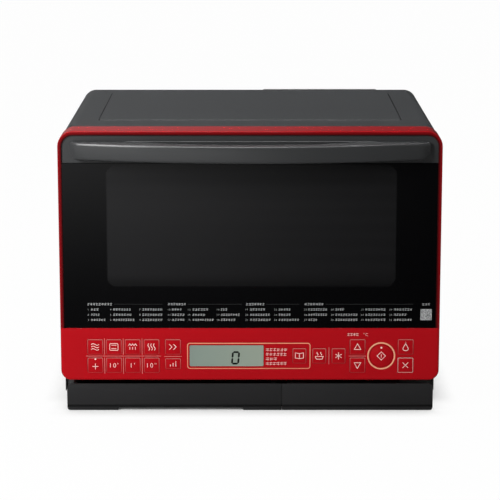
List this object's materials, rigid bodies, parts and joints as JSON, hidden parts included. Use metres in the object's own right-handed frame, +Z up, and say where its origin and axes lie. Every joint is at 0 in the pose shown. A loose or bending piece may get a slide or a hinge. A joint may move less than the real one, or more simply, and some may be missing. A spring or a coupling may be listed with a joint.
{
  "type": "countertop steam microwave oven",
  "caption": "Household countertop steam microwave oven with a pull-down glass door, bowed handle, key panel, drip tray and water tank",
  "frame": {"origin": "on the surface that the oven stands on, under the middle of its whole box, handle and rear duct included", "axes": "+X runs to the right when facing the door, -Y is the way the door faces, +Z is up"},
  "size_m": [0.487, 0.486, 0.365],
  "materials": {
    "red_abs": "red moulded, glossy lacquer",
    "grey_plastic": "dark grey moulded, fine satin",
    "black_glass": "back-printed black glass, polished",
    "clear_glass": "clear heat-proof glass",
    "display_glass": "grey-green liquid crystal window",
    "cabinet_paint": "dark grey powder coat, fine texture",
    "liner_enamel": "grey enamel, smooth",
    "bar_plastic": "near-black moulded, satin",
    "plated_steel": "zinc-plated sheet",
    "dark_steel": "dark coated steel",
    "aluminium": "cast or pressed, dull",
    "ceramic": "dark glazed flat plate",
    "board": "green circuit board",
    "black_plastic": "black moulded",
    "rubber": "black moulded"
  },
  "bodies": {
    "cabinet": {"outer_cabinet": "cabinet_paint", "rear_cover": "dark_steel", "base_pan": "plated_steel", "cavity_liner": "liner_enamel", "foot_front_left": "rubber", "foot_front_right": "rubber", "foot_rear_left": "rubber", "foot_rear_right": "rubber", "weight_sensor_left": "aluminium", "weight_sensor_right": "aluminium", "weight_sensor_rear": "aluminium", "antenna_motor": "plated_steel", "waveguide": "plated_steel", "magnetron": "aluminium", "inverter_board": "board", "fan_housing": "black_plastic", "convection_casing": "plated_steel", "convection_motor": "dark_steel", "convection_heater": "dark_steel", "grill_heater": "aluminium", "steam_boiler": "aluminium", "water_pump": "black_plastic", "oven_lamp": "clear_glass", "switch_bracket": "black_plastic", "cord_gland": "rubber", "hinge_bracket_left": "plated_steel", "hinge_bracket_right": "plated_steel"},
    "door": {"door_frame": "red_abs", "front_glass": "black_glass", "handle": "grey_plastic", "inner_panel": "dark_steel", "inner_glass": "clear_glass", "display_window": "display_glass", "control_board": "board"},
    "key_microwave": {"key_microwave": "red_abs"},
    "key_oven": {"key_oven": "red_abs"},
    "key_grill": {"key_grill": "red_abs"},
    "key_steam": {"key_steam": "red_abs"},
    "key_add_time": {"key_add_time": "red_abs"},
    "key_ten_minutes": {"key_ten_minutes": "red_abs"},
    "key_one_minute": {"key_one_minute": "red_abs"},
    "key_ten_seconds": {"key_ten_seconds": "red_abs"},
    "key_quick": {"key_quick": "red_abs"},
    "key_doneness": {"key_doneness": "red_abs"},
    "key_recipes": {"key_recipes": "red_abs"},
    "key_reheat": {"key_reheat": "red_abs"},
    "key_defrost": {"key_defrost": "red_abs"},
    "key_up": {"key_up": "red_abs"},
    "key_down": {"key_down": "red_abs"},
    "key_start": {"key_start": "red_abs"},
    "key_care": {"key_care": "red_abs"},
    "key_cancel": {"key_cancel": "red_abs"},
    "latch_left": {"latch_left": "grey_plastic"},
    "latch_right": {"latch_right": "grey_plastic"},
    "drip_tray": {"drip_tray": "bar_plastic"},
    "feed_water_tank": {"feed_water_tank": "bar_plastic"},
    "table_plate": {"table_plate": "ceramic"},
    "antenna": {"antenna": "aluminium"},
    "convection_fan": {"convection_fan": "aluminium"},
    "cooling_fan": {"cooling_fan": "black_plastic"}
  },
  "joints": [
    {"name": "door_hinge", "type": "hinge", "parent": "cabinet", "child": "door", "pos_m": [0, -0.184, 0.0691], "axis": [1, 0, 0], "range_deg": [0, 90]},
    {"name": "key_microwave", "type": "slide", "parent": "door", "child": "key_microwave", "axis": [0, 1, 0], "range_m": [0, 0.0005], "stiffness_N_per_m": 2500, "springref_m": -0.0003},
    {"name": "key_oven", "type": "slide", "parent": "door", "child": "key_oven", "axis": [0, 1, 0], "range_m": [0, 0.0005], "stiffness_N_per_m": 2500, "springref_m": -0.0003},
    {"name": "key_grill", "type": "slide", "parent": "door", "child": "key_grill", "axis": [0, 1, 0], "range_m": [0, 0.0005], "stiffness_N_per_m": 2500, "springref_m": -0.0003},
    {"name": "key_steam", "type": "slide", "parent": "door", "child": "key_steam", "axis": [0, 1, 0], "range_m": [0, 0.0005], "stiffness_N_per_m": 2500, "springref_m": -0.0003},
    {"name": "key_add_time", "type": "slide", "parent": "door", "child": "key_add_time", "axis": [0, 1, 0], "range_m": [0, 0.0005], "stiffness_N_per_m": 2500, "springref_m": -0.0003},
    {"name": "key_ten_minutes", "type": "slide", "parent": "door", "child": "key_ten_minutes", "axis": [0, 1, 0], "range_m": [0, 0.0005], "stiffness_N_per_m": 2500, "springref_m": -0.0003},
    {"name": "key_one_minute", "type": "slide", "parent": "door", "child": "key_one_minute", "axis": [0, 1, 0], "range_m": [0, 0.0005], "stiffness_N_per_m": 2500, "springref_m": -0.0003},
    {"name": "key_ten_seconds", "type": "slide", "parent": "door", "child": "key_ten_seconds", "axis": [0, 1, 0], "range_m": [0, 0.0005], "stiffness_N_per_m": 2500, "springref_m": -0.0003},
    {"name": "key_quick", "type": "slide", "parent": "door", "child": "key_quick", "axis": [0, 1, 0], "range_m": [0, 0.0005], "stiffness_N_per_m": 2500, "springref_m": -0.0003},
    {"name": "key_doneness", "type": "slide", "parent": "door", "child": "key_doneness", "axis": [0, 1, 0], "range_m": [0, 0.0005], "stiffness_N_per_m": 2500, "springref_m": -0.0003},
    {"name": "key_recipes", "type": "slide", "parent": "door", "child": "key_recipes", "axis": [0, 1, 0], "range_m": [0, 0.0005], "stiffness_N_per_m": 2500, "springref_m": -0.0003},
    {"name": "key_reheat", "type": "slide", "parent": "door", "child": "key_reheat", "axis": [0, 1, 0], "range_m": [0, 0.0005], "stiffness_N_per_m": 2500, "springref_m": -0.0003},
    {"name": "key_defrost", "type": "slide", "parent": "door", "child": "key_defrost", "axis": [0, 1, 0], "range_m": [0, 0.0005], "stiffness_N_per_m": 2500, "springref_m": -0.0003},
    {"name": "key_up", "type": "slide", "parent": "door", "child": "key_up", "axis": [0, 1, 0], "range_m": [0, 0.0005], "stiffness_N_per_m": 2500, "springref_m": -0.0003},
    {"name": "key_down", "type": "slide", "parent": "door", "child": "key_down", "axis": [0, 1, 0], "range_m": [0, 0.0005], "stiffness_N_per_m": 2500, "springref_m": -0.0003},
    {"name": "key_start", "type": "slide", "parent": "door", "child": "key_start", "axis": [0, 1, 0], "range_m": [0, 0.0005], "stiffness_N_per_m": 2500, "springref_m": -0.0003},
    {"name": "key_care", "type": "slide", "parent": "door", "child": "key_care", "axis": [0, 1, 0], "range_m": [0, 0.0005], "stiffness_N_per_m": 2500, "springref_m": -0.0003},
    {"name": "key_cancel", "type": "slide", "parent": "door", "child": "key_cancel", "axis": [0, 1, 0], "range_m": [0, 0.0005], "stiffness_N_per_m": 2500, "springref_m": -0.0003},
    {"name": "latch_left", "type": "hinge", "parent": "door", "child": "latch_left", "pos_m": [-0.22, -0.164, 0.3], "axis": [1, 0, 0], "range_deg": [0, 8], "stiffness_Nm_per_rad": 0.6, "springref_deg": -8.59},
    {"name": "latch_right", "type": "hinge", "parent": "door", "child": "latch_right", "pos_m": [0.22, -0.164, 0.3], "axis": [1, 0, 0], "range_deg": [0, 8], "stiffness_Nm_per_rad": 0.6, "springref_deg": -8.59},
    {"name": "drip_tray_slide", "type": "slide", "parent": "cabinet", "child": "drip_tray", "axis": [0, -1, 0], "range_m": [0, 0.07]},
    {"name": "feed_water_tank_slide", "type": "slide", "parent": "cabinet", "child": "feed_water_tank", "axis": [0, -1, 0], "range_m": [0, 0.13]},
    {"name": "table_plate_lift", "type": "slide", "parent": "cabinet", "child": "table_plate", "axis": [0, 0, 1], "range_m": [0, 0.03]},
    {"name": "antenna_spin", "type": "hinge", "parent": "cabinet", "child": "antenna", "pos_m": [0, 0.0115, 0.0945], "axis": [0, 0, 1], "continuous": true},
    {"name": "convection_fan_spin", "type": "hinge", "parent": "cabinet", "child": "convection_fan", "pos_m": [0, 0.189, 0.2183], "axis": [0, 1, 0], "continuous": true},
    {"name": "cooling_fan_spin", "type": "hinge", "parent": "cabinet", "child": "cooling_fan", "pos_m": [-0.168, 0.216, 0.062], "axis": [0, 1, 0], "continuous": true}
  ]
}
